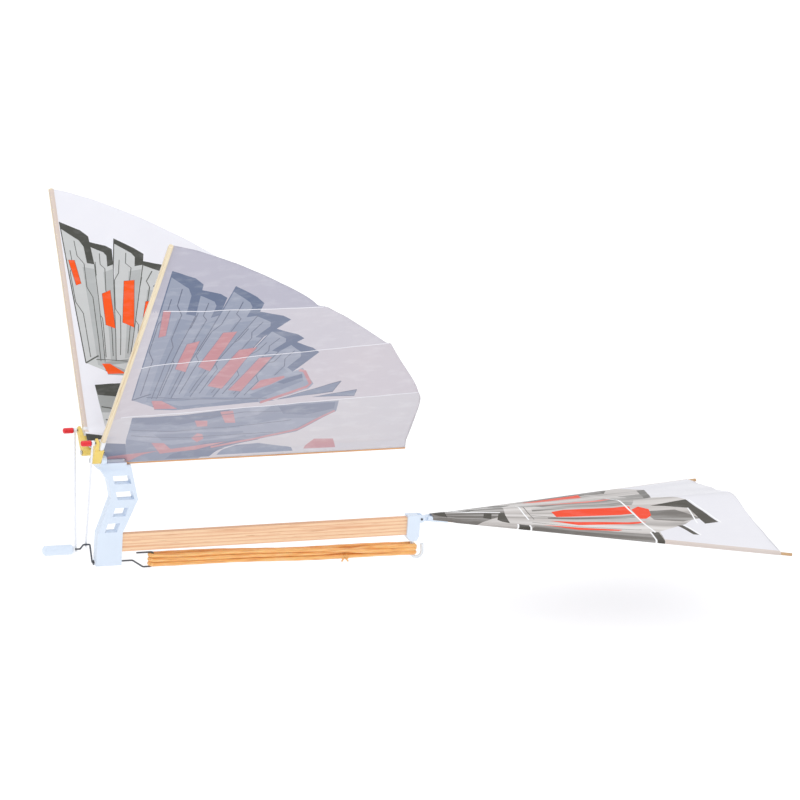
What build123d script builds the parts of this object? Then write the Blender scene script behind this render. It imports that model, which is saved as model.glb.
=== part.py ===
from build123d import *
import os
from math import acos, asin, atan2, cos, degrees, hypot, radians, sin

# Flapping-wing model driven by a twisted rubber band.  Millimetres.
# Row frame: +X runs aft (nose at -X, tail at +X), +Y to starboard, +Z up.
# Origin: middle of the front frame's foot, on its front edge line.

# ---------------------------------------------------------------- driving dimensions
shaft_z = 1.4                  # crankshaft axis above the foot
hinge_x = -5.8                 # middle of a wing holder along its hinge
hinge_y = 6.8                  # wing hinge axes lie this far each side of the middle
hinge_z = 59.0
lever_arm = 12.5               # hinge to connecting-rod pin
throw_radius = 9.6             # both crank throws
rod_length = 60.8              # pin to throw, measured across the crank axis
flap_left = 63.2               # port wing above level as stored, degrees
flap_right = 48.0              # starboard wing above level as stored, degrees

bush_r = 0.9                   # bush outside radius, pressed in the front frame
stick_length, stick_height, stick_width = 175.0, 9.4, 3.0
stick_start, stick_bottom = 1.6, 7.0
frame_half = 2.6               # half width of the front frame's side plate
wire_r = 0.45                  # steel wire of crankshaft and pins
spar_r = 1.3
spar_tip = 149.5               # wing tip from the hinge
spar_sweep = 3.0               # degrees aft
keel_z, keel_r = 54.9, 1.0
keel_start, keel_end = 7.0, 166.9
film_t = 0.1                   # stand-in thickness of the wing and tail film
film_root_z = 56.6             # both wing films meet here, on top of the keel stick
tail_pivot_x, tail_pivot_z = 178.4, 15.4
tail_tip_x, tail_tip_y, tail_tip_z = 363.8, 63.5, 5.8
tail_ridge_x, tail_ridge_z = 357.0, 18.6
tail_root_x, tail_root_z = 181.2, 15.7
clearance = 0.05               # radial running clearance of pins and shafts

hinge_pin_r, hinge_boss_r = 0.7, 2.2
crosshead_front, crosshead_back = -3.2, -0.4
platform_bottom, platform_top, platform_half = 53.0, 56.0, 4.2
holder_front, holder_back, holder_half = hinge_x - 2.6, hinge_x + 2.4, 1.9
spar_x, spar_root = hinge_x + 0.8, 3.2     # start of the spar's axis, in wing axes
sleeve_r, sleeve_length, spar_inset = 1.65, 10.3, 0.6
rod_pin_depth = 1.1            # how deep the rod pin sits in the holder's horn
cap_r, cap_length, cap_grip = 1.5, 5.3, 3.2     # pin cap, and how far the pin reaches into it
cap_back = -11.2               # rear face of a pin cap
left_rod_x, right_rod_x = -5.1, -12.1      # where the rods sit on the crank throws
rod_x = -10.0                  # the rods' upper eyes on the wings' pins
rod_r, rod_hook, rod_eye_r = 0.55, 1.2, 1.4     # rod wire, its hook's middle and its eye
hook_rise = 3.9                # half height of the crank's rubber hook
grip_front, grip_back, grip_r = -30.2, -14.9, 2.6
crank_hook_x = 31.2            # upright leg of the crank's rubber hook
hook_post_x, hook_r = 174.8, 0.9           # rear hook's post and its rod radius
band_r, band_turn = 0.9, 1.9   # rubber strand radius, and radius of a loop's end turns
band_loops, band_pitch = 3, 1.95
band_front_top, band_rear_top = 3.75, 0.9   # height of the top loop at each hook
knot_x = 136.0
tail_stick_r, tail_pin_r = 0.8, 0.6
bracket_front, bracket_back, bracket_top = 170.7, 177.6, 17.5
through = 2.0                  # how far a cutting tool runs past the faces it cuts


# ---------------------------------------------------------------- helpers
def bar(start, end, radius):
    """Round bar from start to end."""
    a, b = Vector(*start), Vector(*end)
    return Solid.make_cylinder(radius, (b - a).length, Plane(origin=a, z_dir=b - a))


def ball(centre, radius):
    return Pos(*centre) * Sphere(radius)


def bent_wire(points, radii, radius):
    """Round wire along straight runs joined by tangent arcs."""
    path = FilletPolyline(*points, radius=radii)
    section = Plane(origin=path @ 0, z_dir=path % 0) * Circle(radius)
    return sweep(section, path=path)


def side_plate(points, half_width):
    """Plate in the XZ plane, from y = -half_width to +half_width."""
    outline = Plane.XZ * make_face(Polyline(*points, close=True))
    return extrude(outline, amount=half_width, both=True)


def block(x0, x1, y0, y1, z0, z1):
    middle = Pos((x0 + x1) / 2, (y0 + y1) / 2, (z0 + z1) / 2)
    return middle * Box(x1 - x0, y1 - y0, z1 - z0)


def x_disc(x0, x1, y, z, radius):
    """Round disc or pin whose axis is along X."""
    return bar((x0, y, z), (x1, y, z), radius)


def on_wing(shape, side):
    """Move a shape from wing axes (hinge at the origin, spar along +Y) to the stored pose."""
    if side == "right":
        return Pos(0, hinge_y, hinge_z) * Rot(X=flap_right) * shape
    return Pos(0, -hinge_y, hinge_z) * Rot(X=-flap_left) * mirror(shape, Plane.XZ)


def export(name, shape):
    os.makedirs("parts", exist_ok=True)
    export_step(shape, f"parts/{name}.step")


# ---------------------------------------------------------------- linkage
def rod_pin_place(side, flap):
    """Y and Z of a wing's connecting-rod pin with that wing at the given flap angle."""
    sign = 1 if side == "right" else -1
    y = sign * (hinge_y + lever_arm * cos(radians(flap)))
    return y, hinge_z + lever_arm * sin(radians(flap))


def throw_angle(side, flap):
    """Crank throw angle from +Z towards +Y that closes the linkage at a flap angle."""
    y, z = rod_pin_place(side, flap)
    reach = hypot(y, z - shaft_z)
    cosine = (throw_radius**2 + reach**2 - rod_length**2) / (2 * throw_radius * reach)
    lead = degrees(acos(cosine))
    return degrees(atan2(y, z - shaft_z)) + (-lead if side == "right" else lead)


def throw_place(side):
    angle = radians(throw_angle(side, flap_right if side == "right" else flap_left))
    return throw_radius * sin(angle), shaft_z + throw_radius * cos(angle)


# ---------------------------------------------------------------- airframe
def window(x, z, width, height, lean):
    """Lightening window, a leaning parallelogram with its top front corner at x, z."""
    foot = x + lean
    points = [(x, z), (x + width, z), (foot + width, z - height), (foot, z - height)]
    return side_plate(points, frame_half + through)


def front_frame():
    """Side plate with socket, top platform and the cross-head that carries the hinges."""
    outline = [
        (-0.5, 0), (-0.5, 17.5), (5.6, 36.5), (4.0, 43.0), (3.0, 46.2), (-0.4, 51),
        (-3.2, 54), (15.2, 54), (20.2, 35.1), (12.9, 17.4), (13.3, 0),
    ]
    body = side_plate(outline, frame_half)
    body += block(crosshead_front, 12.2, -platform_half, platform_half, platform_bottom, platform_top)
    crosshead = block(crosshead_front, crosshead_back, -hinge_y, hinge_y, 55.0, 60.6)
    for side in (-1, 1):
        crosshead += x_disc(crosshead_front, crosshead_back, side * hinge_y, hinge_z, hinge_boss_r)
    body += crosshead
    body -= window(5.6, 48.4, 9.1, 4.5, 1.3)
    body -= window(7.8, 39.8, 9.1, 4.5, 1.3)
    body -= window(8.1, 31.0, 7.1, 4.6, -1.3)
    body -= window(4.6, 22.8, 6.6, 4.8, -1.5)
    stick_end = stick_start + stick_length
    body -= block(stick_start, stick_end, -stick_width / 2, stick_width / 2,
                  stick_bottom, stick_bottom + stick_height)
    body -= x_disc(-1, 14, 0, shaft_z, bush_r)
    body -= x_disc(keel_start, 16, 0, keel_z, keel_r)
    for side in (-1, 1):
        body -= x_disc(crosshead_front - through, 0, side * hinge_y, hinge_z, hinge_pin_r)
    return body


def shaft_bush():
    """Plain bush with a thin flange, pressed in the frame's foot."""
    bush = x_disc(-0.5, 13.3, 0, shaft_z, bush_r) + x_disc(-1.0, -0.5, 0, shaft_z, bush_r + 0.5)
    return bush - x_disc(-through, 14, 0, shaft_z, wire_r + clearance)


def motor_stick():
    return block(stick_start, stick_start + stick_length, -stick_width / 2, stick_width / 2,
                 stick_bottom, stick_bottom + stick_height)


def keel_stick():
    return x_disc(keel_start, keel_end, 0, keel_z, keel_r)


def hinge_pin(side):
    """Steel pin of a wing hinge, fixed in the cross-head, with a flat head in front."""
    y = hinge_y if side == "right" else -hinge_y
    pin = x_disc(holder_front - 0.5, crosshead_back, y, hinge_z, hinge_pin_r)
    return pin + x_disc(holder_front - 0.7, holder_front - 0.3, y, hinge_z, hinge_pin_r + 0.5)


def y_pin(half_length, radius):
    """Round bar along the tail's pivot axis."""
    ends = [(tail_pivot_x, sign * half_length, tail_pivot_z) for sign in (-1, 1)]
    return bar(*ends, radius)


def rear_bracket():
    """Clip over the stick's rear end, with two ears for the tail and a lug for the hook."""
    lug_top, lug_bottom = 6.2, 3.6
    outline = [(bracket_front, bracket_top), (bracket_back, bracket_top), (bracket_back, lug_top),
               (176.4, lug_bottom), (172.6, lug_bottom), (bracket_front, lug_top)]
    body = side_plate(outline, frame_half)
    body += block(176.4, tail_pivot_x, -frame_half, frame_half, 13.5, 17.3)
    body += y_pin(frame_half, 1.9)
    body -= block(176.7, 181, -1.5, 1.5, 12.0, 18.5)
    body -= motor_stick()
    body -= y_pin(frame_half + through, tail_pin_r)
    return body - bar((hook_post_x, 0, 0), (hook_post_x, 0, 5.4), hook_r)


def rear_hook():
    """Hook of round plastic rod: a post out of the bracket's lug that curls aft and up."""
    low, back = -5.9, hook_post_x + 6.2
    points = [(hook_post_x, 0, 5.4), (hook_post_x, 0, low), (back, 0, low), (back - 0.5, 0, 1.2)]
    return bent_wire(points, 2.9, hook_r)


def tail_pivot_pin():
    return y_pin(frame_half + 0.3, tail_pin_r)


def rubber_loop(front_z, rear_z):
    """One flat loop of the rubber motor, from the crank hook to the rear hook's post."""
    length = hypot(hook_post_x - crank_hook_x, rear_z - front_z)
    across, strand = band_turn, band_r
    loop = Pos(length / 2, across, 0) * Rot(Y=90) * Cylinder(strand, length)
    loop += Pos(length / 2, -across, 0) * Rot(Y=90) * Cylinder(strand, length)
    ring = Torus(across, strand)
    loop += ring & Pos(-across, 0, 0) * Box(2 * across, 8 * across, 4 * strand)
    loop += Pos(length, 0, 0) * (ring & Pos(across, 0, 0) * Box(2 * across, 8 * across, 4 * strand))
    tilt = degrees(asin((front_z - rear_z) / length))
    return Pos(crank_hook_x, 0, front_z) * Rot(Y=tilt) * loop


def rubber_band():
    """The band's three loops, one above another."""
    loops = []
    for index in range(band_loops):
        front = band_front_top - index * band_pitch
        loops.append(rubber_loop(front, band_rear_top - index * band_pitch))
    return Compound(children=loops)


def rubber_knot():
    """Knot that closes the band, on the lowest loop's port strand."""
    share = (knot_x - crank_hook_x) / (hook_post_x - crank_hook_x)
    top = band_front_top + (band_rear_top - band_front_top) * share
    z = top - (band_loops - 1) * band_pitch - band_r
    knot = ball((knot_x, -band_turn, z - 0.75), 0.7)
    return knot + bar((knot_x + 0.2, -band_turn, z - 0.8), (knot_x + 2.0, -band_turn - 0.4, z - 1.2), 0.4)


# ---------------------------------------------------------------- crank
def crank_wire():
    """One bent wire: rubber hook, shaft, port throw, starboard throw and grip pin."""
    ly, lz = throw_place("left")
    ry, rz = throw_place("right")
    top, bottom = shaft_z + hook_rise, shaft_z - hook_rise
    points = [
        (22.0, 0, top), (crank_hook_x, 0, top), (crank_hook_x, 0, bottom),
        (26.0, 0, bottom), (20.0, 0, shaft_z), (-1.9, 0, shaft_z),
        (-3.3, ly, lz), (-6.8, ly, lz), (-10.2, ry, rz), (grip_front + 0.8, ry, rz),
    ]
    radii = [1.2, 1.2, 2.5, 2.5, 0.7, 0.7, 0.7, 0.7]
    return bent_wire(points, radii, wire_r)


def thrust_washer():
    ring = x_disc(-1.4, -1.05, 0, shaft_z, 1.3)
    return ring - x_disc(-2, 0, 0, shaft_z, wire_r)


def grip_collar():
    y, z = throw_place("right")
    ring = x_disc(grip_back + 0.4, grip_back + 1.3, y, z, 2.0)
    return ring - x_disc(grip_back, grip_back + 2, y, z, wire_r)


def crank_grip():
    """Round hand grip with a chamfered front end, free to turn on the crank's last leg."""
    y, z = throw_place("right")
    body = x_disc(grip_front, grip_back, y, z, grip_r)
    body = chamfer(body.edges().sort_by(Axis.X)[0], 1.0)
    return body - x_disc(grip_front + 0.7, grip_back + 1, y, z, wire_r + clearance)


# ---------------------------------------------------------------- wings
def spar_line(distance):
    """X and Y, in wing axes, of a point on the spar at a distance from its root."""
    angle = radians(spar_sweep)
    return spar_x + distance * sin(angle), spar_root + distance * cos(angle)


def wing_holder(side):
    """Moulded holder: hinge eye, socket for the spar sleeve, horn for the rod pin."""
    front, back, half = holder_front, holder_back, holder_half
    body = block(front, back, 0, 8.4, -half, half) + x_disc(front, back, 0, 0, half)
    horn = Plane.XY * make_face(
        Polyline((front, 8), (front, 14.0), (front + 1.3, 14.0), (front + 2.2, 8), close=True))
    body += extrude(horn, amount=half - 0.2, both=True)
    body -= x_disc(front - through, back + through, 0, 0, hinge_pin_r + clearance)
    body -= x_disc(front - through, front + rod_pin_depth, lever_arm, 0, wire_r)
    x, y = spar_line(0)
    end_x, end_y = spar_line(sleeve_length + through)
    return on_wing(body - bar((x, y, 0), (end_x, end_y, 0), sleeve_r), side)


def spar_sleeve(side):
    a, b = spar_line(0), spar_line(sleeve_length)
    body = bar((*a, 0), (*b, 0), sleeve_r)
    inner, outer = spar_line(spar_inset), spar_line(sleeve_length + through)
    return on_wing(body - bar((*inner, 0), (*outer, 0), spar_r), side)


def wing_spar(side):
    a, b = spar_line(spar_inset), spar_line(spar_tip - spar_root)
    return on_wing(bar((*a, 0), (*b, 0), spar_r), side)


def rod_pin(side):
    pin = x_disc(cap_back - cap_grip, holder_front + rod_pin_depth, lever_arm, 0, wire_r)
    return on_wing(pin, side)


def pin_cap(side):
    """Round-nosed cap pushed on the rod pin's end."""
    dome = cap_back - cap_length + 1.0
    body = x_disc(dome, cap_back, lever_arm, 0, cap_r)
    body += Pos(dome, lever_arm, 0) * scale(Sphere(cap_r), by=(0.66, 1, 1))
    return on_wing(body - x_disc(cap_back - cap_grip, cap_back + 1, lever_arm, 0, wire_r), side)


def wing_film(side):
    """Flat stand-in of a film wing, from the keel stick out to the spar."""
    sign = 1 if side == "right" else -1
    flap = radians(flap_right if side == "right" else flap_left)
    tip_y = sign * (hinge_y + spar_tip * cos(flap))
    tip_z = hinge_z + spar_tip * sin(flap)
    slope = atan2(tip_z - film_root_z, sign * tip_y)
    span = hypot(tip_z - film_root_z, tip_y) - 2.5
    root, tip_front = 1.6, spar_line(spar_tip)[0] + 1.7
    trailing = Spline((tip_front + 3, span), (52, span * 0.86), (94, span * 0.69),
                      (139, span * 0.49), (163, span * 0.26), (167, span * 0.1))
    outline = [Line((167, root), (2.2, root)), Line((2.2, root), (-0.5, 16)),
               Line((-0.5, 16), (tip_front, span)), Line((tip_front, span), (tip_front + 3, span)),
               trailing, Line((167, span * 0.1), (167, root))]
    sheet = extrude(make_face(Curve() + outline), amount=film_t)
    sheet = Rot(X=degrees(slope)) * sheet
    if side == "left":
        sheet = mirror(sheet, Plane.XZ)
    return Pos(0, 0, film_root_z) * sheet


def con_rod(side):
    """Connecting rod: a closed eye on the wing's pin, an open hook on the crank throw."""
    top_x = rod_x
    low_x = left_rod_x if side == "left" else right_rod_x
    pin_y, pin_z = rod_pin_place(side, flap_left if side == "left" else flap_right)
    throw_y, throw_z = throw_place(side)
    lean = degrees(atan2(throw_y - pin_y, pin_z - throw_z))
    eye = x_disc(top_x - 0.7, top_x + 0.7, 0, 0, rod_eye_r)
    bend = (low_x, rod_hook, 1.4 - rod_length)
    shank = bar((top_x, 0, -0.9), bend, rod_r) + ball(bend, rod_r)
    shank += bar(bend, (low_x, rod_hook, -rod_length), rod_r)
    hook = Rot(Y=90) * Torus(rod_hook, rod_r)
    keep = make_face(Polyline((0, 0), (3, 0), (3, -3), (-0.6, -3), close=True))
    hook &= extrude(Plane.YZ * keep, amount=1, both=True)
    body = eye + shank + Pos(low_x, 0, -rod_length) * hook
    body -= x_disc(top_x - through, top_x + through, 0, 0, wire_r + clearance)
    return Pos(0, pin_y, pin_z) * Rot(X=lean) * body


# ---------------------------------------------------------------- tail
def tail_line(distance, side):
    """Point on a tail stick's axis at a distance aft of the root."""
    share = distance / (tail_tip_x - tail_root_x)
    sign = 1 if side == "right" else -1
    z = tail_root_z + (tail_tip_z - tail_root_z) * share - 0.4
    return tail_root_x + distance, sign * (0.9 + (tail_tip_y - 0.9) * share), z


def tail_holder():
    """Knuckle on the pivot pin, with a tongue and two sockets that spread aft."""
    knuckle = 1.4
    body = y_pin(knuckle, knuckle)
    body += block(tail_pivot_x, 182.8, -knuckle, knuckle, tail_pivot_z - 1.3, tail_pivot_z + 0.9)
    tongue = Polyline((181.2, -1.6), (191.5, -5.6), (191.5, 5.6), (181.2, 1.6), close=True)
    body += Pos(0, 0, 13.9) * extrude(make_face(tongue), amount=0.9)
    for side in ("left", "right"):
        body += bar(tail_line(1.2, side), tail_line(11, side), 1.3)
        body -= bar(tail_line(2.2, side), tail_line(12, side), tail_stick_r)
    return body - y_pin(frame_half + through, tail_pin_r + clearance)


def tail_stick(side):
    return bar(tail_line(2.2, side), tail_line(tail_tip_x - tail_root_x, side), tail_stick_r)


def tail_section(x):
    """Cross-section of the tail film: two thin flats that meet at the ridge."""
    aft = x - tail_root_x
    _, half, side_z = tail_line(aft, "right")
    side_z += 1.3 + film_t
    ridge = tail_root_z + 1.8 + (tail_ridge_z - tail_root_z - 1.8) * aft / (tail_ridge_x - tail_root_x)
    upper = [(half, side_z), (0, ridge), (-half, side_z)]
    lower = [(-half, side_z - film_t), (0, ridge - film_t), (half, side_z - film_t)]
    face = make_face(Polyline(*upper, *lower, close=True))
    return Plane(origin=(x, 0, 0), x_dir=(0, 1, 0), z_dir=(1, 0, 0)) * face


def tail_film():
    return loft([tail_section(tail_root_x + 2.5), tail_section(tail_ridge_x + 1)], ruled=True)


# ---------------------------------------------------------------- output
PARTS = [front_frame, shaft_bush, motor_stick, keel_stick, rear_bracket, rear_hook, tail_pivot_pin,
         rubber_band, rubber_knot, crank_wire, thrust_washer, grip_collar, crank_grip, tail_holder,
         tail_film]
SIDED_PARTS = [hinge_pin, wing_holder, spar_sleeve, wing_spar, rod_pin, pin_cap, wing_film, con_rod,
               tail_stick]

for make in PARTS:
    export(make.__name__, make())
for make in SIDED_PARTS:
    for side in ("left", "right"):
        export(f"{make.__name__}_{side}", make(side))
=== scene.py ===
from math import atan2, ceil, cos, exp, hypot, pi, radians, sin, sqrt, tan

import bpy
from mathutils import Matrix, Vector, noise
from mathutils.geometry import delaunay_2d_cdt


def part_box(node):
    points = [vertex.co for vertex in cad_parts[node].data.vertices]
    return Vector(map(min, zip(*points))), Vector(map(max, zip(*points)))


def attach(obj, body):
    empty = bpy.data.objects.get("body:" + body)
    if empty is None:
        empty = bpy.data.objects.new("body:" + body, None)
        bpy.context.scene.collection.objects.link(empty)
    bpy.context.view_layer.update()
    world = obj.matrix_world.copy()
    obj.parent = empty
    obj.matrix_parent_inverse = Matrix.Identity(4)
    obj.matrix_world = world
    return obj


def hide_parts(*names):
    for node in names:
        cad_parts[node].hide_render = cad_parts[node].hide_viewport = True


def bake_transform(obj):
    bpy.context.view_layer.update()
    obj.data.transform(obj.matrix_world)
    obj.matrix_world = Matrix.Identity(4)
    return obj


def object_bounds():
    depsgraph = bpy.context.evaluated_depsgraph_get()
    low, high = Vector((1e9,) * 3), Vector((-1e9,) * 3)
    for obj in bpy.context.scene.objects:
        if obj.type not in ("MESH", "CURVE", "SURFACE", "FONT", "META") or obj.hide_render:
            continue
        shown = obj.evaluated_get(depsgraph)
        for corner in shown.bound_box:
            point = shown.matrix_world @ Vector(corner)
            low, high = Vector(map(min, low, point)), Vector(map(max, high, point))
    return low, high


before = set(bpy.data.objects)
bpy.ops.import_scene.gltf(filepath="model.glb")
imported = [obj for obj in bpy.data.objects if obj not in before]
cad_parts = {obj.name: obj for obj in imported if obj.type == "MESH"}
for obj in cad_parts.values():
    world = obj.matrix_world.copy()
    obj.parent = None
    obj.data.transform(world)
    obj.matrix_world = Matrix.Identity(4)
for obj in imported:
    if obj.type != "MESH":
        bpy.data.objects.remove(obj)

# Looks of a rubber-powered flapping-wing model.  Everything is in metres unless a name says mm;
# the prints and the films' outlines are in millimetres on the flat sheet: x aft, s out from the keel.

MM = 0.001
CAD_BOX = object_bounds()

# ---- places read from the frame
KEEL_LOW, KEEL_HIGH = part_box("keel_stick")
HINGE_LOW, HINGE_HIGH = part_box("hinge_pin_right")
KNOT_LOW, KNOT_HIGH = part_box("rubber_knot")

HINGE_Y = (HINGE_LOW.y + HINGE_HIGH.y) / 2 / MM
HINGE_Z = (HINGE_LOW.z + HINGE_HIGH.z) / 2 / MM
FILM_ROOT_Z = 56.6  # where the planes of both wing films meet over the keel stick, mm
KEEL_Z = (KEEL_LOW.z + KEEL_HIGH.z) / 2 / MM
KEEL_R = (KEEL_HIGH.z - KEEL_LOW.z) / 2 / MM
FILM_T = 0.1  # film thickness, mm
FLAP = {"left": 63.2, "right": 48.0}  # wings above level at rest, degrees
SPAR_TIP, SPAR_ROOT, SPAR_R = 149.5, 3.2, 1.3  # both ends from the hinge, and the radius, mm
SPAR_X, SPAR_SWEEP = -5.0, 3.0  # x of the spar's root, and its sweep in degrees

VIEW_AIM = Vector((0.16841, 0.014296, 0.075813))
VIEW_DISTANCE, VIEW_LENS = 4.0, 346.15
VIEW_AZIMUTH, VIEW_ELEVATION, VIEW_ROLL = -22.64, 17.162, -4.039  # degrees
FLOOR_DROP = 0.034  # the floor clears the wing tips at the bottom of their stroke
MIDDLE_OF_MODEL = (0.17, 0, 0.06)


# ---- small helpers
def smooth(t):
    t = min(max(t, 0.0), 1.0)
    return t * t * (3 - 2 * t)


def mix(a, b, t):
    return a + (b - a) * t


def rounded(points, steps=5):
    """Points on a Catmull-Rom curve through the given ones."""
    ends = [points[0]] + list(points) + [points[-1]]
    made = []
    for i in range(1, len(ends) - 2):
        p0, p1, p2, p3 = (Vector(p) for p in ends[i - 1:i + 3])
        for k in range(steps):
            t = k / steps
            made.append(0.5 * (2 * p1 + (p2 - p0) * t + (2 * p0 - 5 * p1 + 4 * p2 - p3) * t * t
                               + (3 * p1 - p0 - 3 * p2 + p3) * t ** 3))
    return [tuple(p) for p in made] + [tuple(points[-1])]


def strip(points, width):
    """Outline of a thin line of the given width along points."""
    sides = ([], [])
    for i, p in enumerate(points):
        before = Vector(points[max(i - 1, 0)])
        after = Vector(points[min(i + 1, len(points) - 1)])
        along = (after - before).normalized()
        across = Vector((-along.y, along.x)) * width / 2
        sides[0].append(tuple(Vector(p) + across))
        sides[1].append(tuple(Vector(p) - across))
    return sides[0] + sides[1][::-1]


def new_object(name, mesh):
    made = bpy.data.objects.new(name, mesh)
    bpy.context.scene.collection.objects.link(made)
    return made


# ---- materials
def tone(screen):
    """Linear colour of a screen colour given as six hexadecimal digits."""
    return tuple(((c / 255 + 0.055) / 1.055) ** 2.4 if c > 10 else c / 255 / 12.92
                 for c in bytes.fromhex(screen)) + (1.0,)


def blend_of(first, second, share):
    return tuple(mix(a, b, share) for a, b in zip(first, second))


def node(tree, kind, values=None, **settings):
    """A new shader node; values are its inputs, as plain values or as other nodes' outputs."""
    made = tree.nodes.new("ShaderNode" + kind)
    for key, value in settings.items():
        setattr(made, key, value)
    for key, value in (values or {}).items():
        if isinstance(value, bpy.types.NodeSocket):
            tree.links.new(value, made.inputs[key])
        else:
            made.inputs[key].default_value = value
    return made


def new_material(name, **shader_values):
    """A material with an empty principled shader: (material, tree, shader)."""
    material = bpy.data.materials.new(name)
    material.use_nodes = True
    tree = material.node_tree
    shader = tree.nodes["Principled BSDF"]
    for key, value in shader_values.items():
        shader.inputs[key.replace("_", " ")].default_value = value
    return material, tree, shader


def ramp(tree, factor, stops):
    made = node(tree, "ValToRGB", {0: factor})
    elements = made.color_ramp.elements
    while len(elements) < len(stops):
        elements.new(1.0)
    for element, (place, colour) in zip(elements, stops):
        element.position = place
        element.color = colour
    return made.outputs[0]


def blend_colour(tree, factor, first, second):
    return node(tree, "Mix", {0: factor, 6: first, 7: second}, data_type="RGBA").outputs[2]


def scaled(tree, vector, x, y, z):
    return node(tree, "VectorMath", {0: vector, 1: (x, y, z)}, operation="MULTIPLY").outputs[0]


def maths(tree, operation, *values):
    return node(tree, "Math", dict(enumerate(values)), operation=operation).outputs[0]


def grey(level):
    return (level, level, level, 1)


def object_place(tree):
    return node(tree, "TexCoord").outputs["Object"]


def noise_value(tree, vector, scale, detail=3.0, roughness=0.55):
    values = {"Vector": vector, "Scale": scale, "Detail": detail, "Roughness": roughness}
    return node(tree, "TexNoise", values).outputs["Fac"]


def surface(tree, shader, base, roughness, height, strength, distance):
    """Link a shader's colour, its roughness, and the height of its bumps."""
    bumps = node(tree, "Bump", {"Height": height, "Strength": strength, "Distance": distance})
    for socket, value in (("Base Color", base), ("Roughness", roughness), ("Normal", bumps.outputs[0])):
        tree.links.new(value, shader.inputs[socket])


def range_of(tree, value, low, high):
    return node(tree, "MapRange", {"Value": value, "To Min": low, "To Max": high}).outputs[0]


def plastic(name, colour, shade, roughness=0.32, coat=0.25, through=0.0):
    """Moulded plastic: faint flow marks, fine surface grain and small gloss changes."""
    material, tree, shader = new_material(name, Coat_Weight=coat, Coat_Roughness=0.12,
                                          Subsurface_Weight=through, Subsurface_Radius=(0.002,) * 3)
    place = object_place(tree)
    flow = noise_value(tree, place, 90.0, 4.0)
    fleck = noise_value(tree, place, 900.0, 2.0)
    base = blend_colour(tree, range_of(tree, flow, 0.0, 0.9), tone(colour), tone(shade))
    gloss = range_of(tree, flow, roughness - 0.06, roughness + 0.1)
    surface(tree, shader, base, gloss, fleck, 0.12, 0.0001)
    return material


def steel(name, dark, light):
    """Steel wire with drawing marks."""
    material, tree, shader = new_material(name, Metallic=0.85)
    place = object_place(tree)
    marks = noise_value(tree, scaled(tree, place, 300, 2500, 2500), 1.0, 3.0)
    base = ramp(tree, marks, [(0.3, tone(dark)), (0.7, tone(light))])
    surface(tree, shader, base, range_of(tree, marks, 0.28, 0.5), marks, 0.15, 0.00005)
    return material


def along_grain(tree, axis, stretch=0.03):
    """Texture place squeezed along a piece's own length, so that noise turns into grain."""
    axis = Vector(axis).normalized()
    side = axis.cross(Vector((0, 1, 0) if abs(axis.y) < 0.9 else (1, 0, 0))).normalized()
    third = axis.cross(side)
    place = object_place(tree)
    parts = []
    for direction, scale in ((axis, stretch), (side, 1.0), (third, 1.0)):
        along = node(tree, "VectorMath", {0: place, 1: direction * scale},
                     operation="DOT_PRODUCT")
        parts.append(along.outputs["Value"])
    return node(tree, "CombineXYZ", dict(enumerate(parts))).outputs[0]


BAND_WANDER = 0.0011  # how far a lengthwise stripe in wood wanders, in metres


def wood(name, axis, light, dark, pore, coarse=600.0, bands=0.0):
    """Wood strip or dowel with grain along its length; bands adds broad lengthwise stripes."""
    material, tree, shader = new_material(name, Specular_IOR_Level=0.3)
    light, dark, pore = tone(light), tone(dark), tone(pore)
    place = along_grain(tree, axis)
    grain = noise_value(tree, place, coarse, 5.0, 0.65)
    fine = noise_value(tree, place, coarse * 5, 3.0, 0.7)
    base = ramp(tree, grain, [(0.32, dark), (0.5, light), (0.68, blend_of(light, dark, 0.35))])
    if bands:
        height = node(tree, "SeparateXYZ", {0: object_place(tree)}).outputs["Z"]
        wander = maths(tree, "MULTIPLY", grain, BAND_WANDER)
        wave = maths(tree, "MULTIPLY", maths(tree, "ADD", height, wander), bands)
        amount = range_of(tree, maths(tree, "SINE", wave), 0.0, 0.75)
        amount.node.inputs["From Min"].default_value = 0.1
        base = blend_colour(tree, amount, base, dark)
    pores = ramp(tree, fine, [(0.3, grey(1)), (0.42, grey(0))])
    base = blend_colour(tree, pores, base, pore)
    surface(tree, shader, base, range_of(tree, fine, 0.5, 0.75), fine, 0.25, 0.00012)
    return material


def rubber(name):
    """Amber rubber strip: cut marks along each strand with painted highlights between them, dusty bloom
    and a soft satin gloss.
    """
    material, tree, shader = new_material(
        name, Subsurface_Weight=0.25, Subsurface_Radius=(0.0015, 0.0007, 0.0002),
        Coat_Weight=0.15, Coat_Roughness=0.3)
    place = object_place(tree)
    cuts_and_highlights = noise_value(tree, scaled(tree, place, 0.05, 1.0, 1.0), 1700.0, 3.0)
    bloom = noise_value(tree, place, 160.0, 4.0)
    # The palest stop is a painted highlight, drawn out along the strands together with the darker cut
    # marks.
    amber_and_highlight_stops = ((0.3, "d6883e"), (0.48, "f6b260"), (0.7, "ffd696"))
    base = ramp(tree, cuts_and_highlights, [(at, tone(amber)) for at, amber in amber_and_highlight_stops])
    base = blend_colour(tree, range_of(tree, bloom, 0.0, 0.35), base, tone("ffcd96"))
    surface(tree, shader, base, range_of(tree, bloom, 0.36, 0.55), cuts_and_highlights, 0.3, 0.0002)
    return material


RAYS_FROM = 0.17  # x of the point that the tail's reflections spread from, in metres
RAYS_ALONG, RAYS_ACROSS = 4.0, 17.0  # how busy they are along their length and side by side


def ray_noise(tree, place):
    """Noise drawn out into rays that spread from the tail's nose."""
    apart = node(tree, "SeparateXYZ", {0: place})
    reach = maths(tree, "ADD", apart.outputs["X"], -RAYS_FROM)
    bearing = maths(tree, "DIVIDE", apart.outputs["Y"], reach)
    polar = node(tree, "CombineXYZ", {0: reach, 1: bearing}).outputs[0]
    return noise_value(tree, scaled(tree, polar, RAYS_ALONG, RAYS_ACROSS, 1.0), 1.0, 2.0)


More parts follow.
